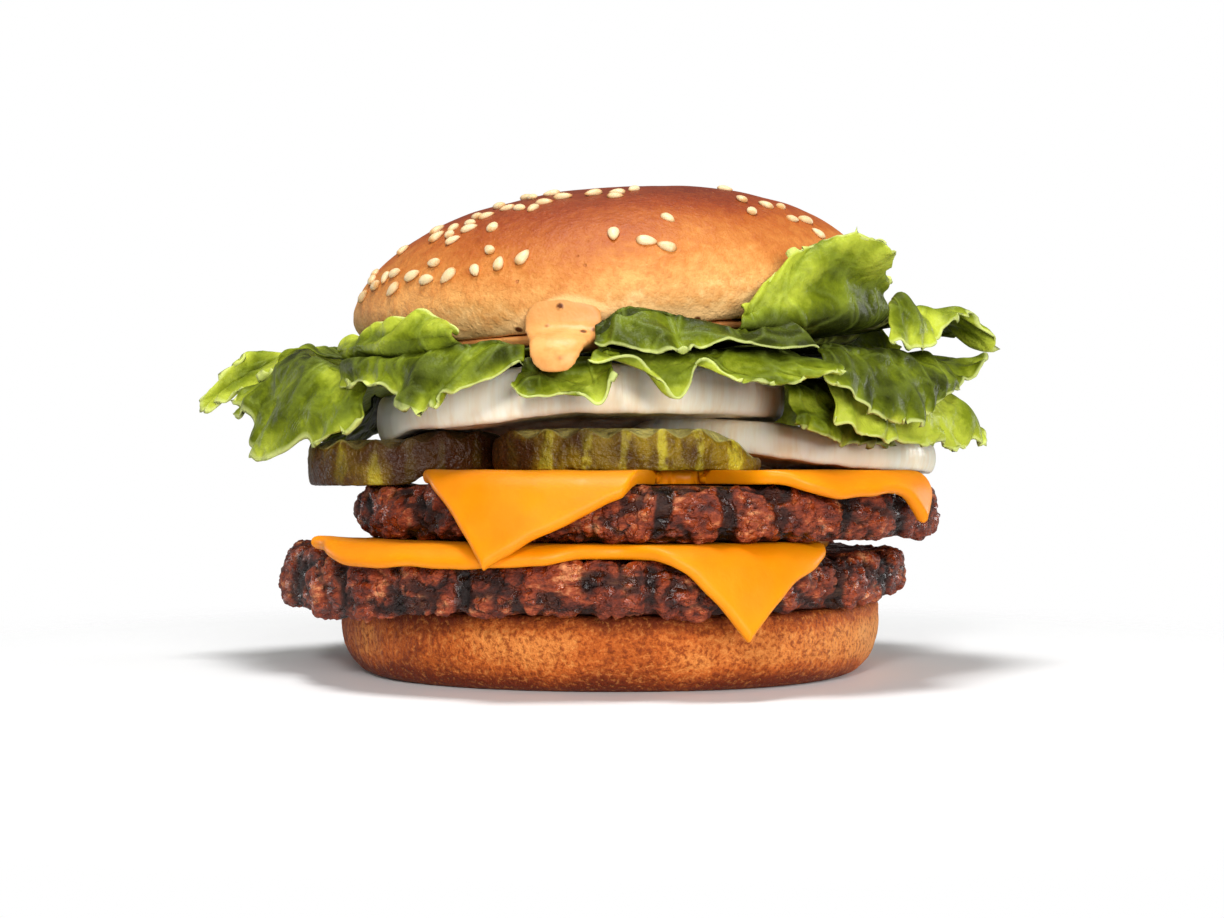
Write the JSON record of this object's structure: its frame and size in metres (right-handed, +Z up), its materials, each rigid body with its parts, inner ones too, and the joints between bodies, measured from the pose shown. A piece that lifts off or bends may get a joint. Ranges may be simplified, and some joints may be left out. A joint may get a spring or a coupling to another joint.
{
  "type": "double cheeseburger",
  "caption": "Flame-grilled cheeseburger: stacked beef patties under draped orange cheese, crinkle-cut pickle, onion slices, frilly lettuce and sauce in a sesame bun.",
  "frame": {"origin": "centre of the flat base of the bun's lower half", "axes": "+Z up through the stack, +X to the right as seen from the front, and -Y towards the front, where the cheese corners hang"},
  "size_m": [0.1584, 0.1305, 0.0943],
  "materials": {
    "bun_crust": "baked crust, golden tan below and glossy chestnut on top, with pale sesame seeds",
    "heel_crust": "matt toasted crust with fine dark speckles",
    "grilled_beef": "craggy charred minced beef, moist and glossy in spots",
    "orange_cheese": "smooth satin processed cheese",
    "pickle": "wet olive-green pickle with yellow-green streaks",
    "raw_onion": "translucent wet white onion",
    "lettuce": "crisp green leaf with pale veins and edges",
    "burger_sauce": "glossy pinkish-orange dressing with relish bits"
  },
  "bodies": {
    "root": {"heel": "heel_crust", "patty_lower": "grilled_beef", "cheese_lower": "orange_cheese", "patty_upper": "grilled_beef", "cheese_upper": "orange_cheese", "pickle_left": "pickle", "pickle_front": "pickle", "pickle_back": "pickle", "onion_lower": "raw_onion", "onion_upper": "raw_onion", "leaf_left_low": "lettuce", "leaf_left_under": "lettuce", "leaf_left_high": "lettuce", "leaf_left_front_up": "lettuce", "leaf_left_front_down": "lettuce", "leaf_front": "lettuce", "leaf_right_front_up": "lettuce", "leaf_right_front_down": "lettuce", "leaf_blade": "lettuce", "leaf_right_up": "lettuce", "leaf_right_mid": "lettuce", "leaf_right_low": "lettuce", "leaf_right_core": "lettuce", "leaf_back_right_up": "lettuce", "leaf_back_right": "lettuce", "leaf_back_up": "lettuce", "leaf_back": "lettuce", "leaf_back_left": "lettuce", "sauce": "burger_sauce", "crown": "bun_crust"}
  },
  "joints": []
}
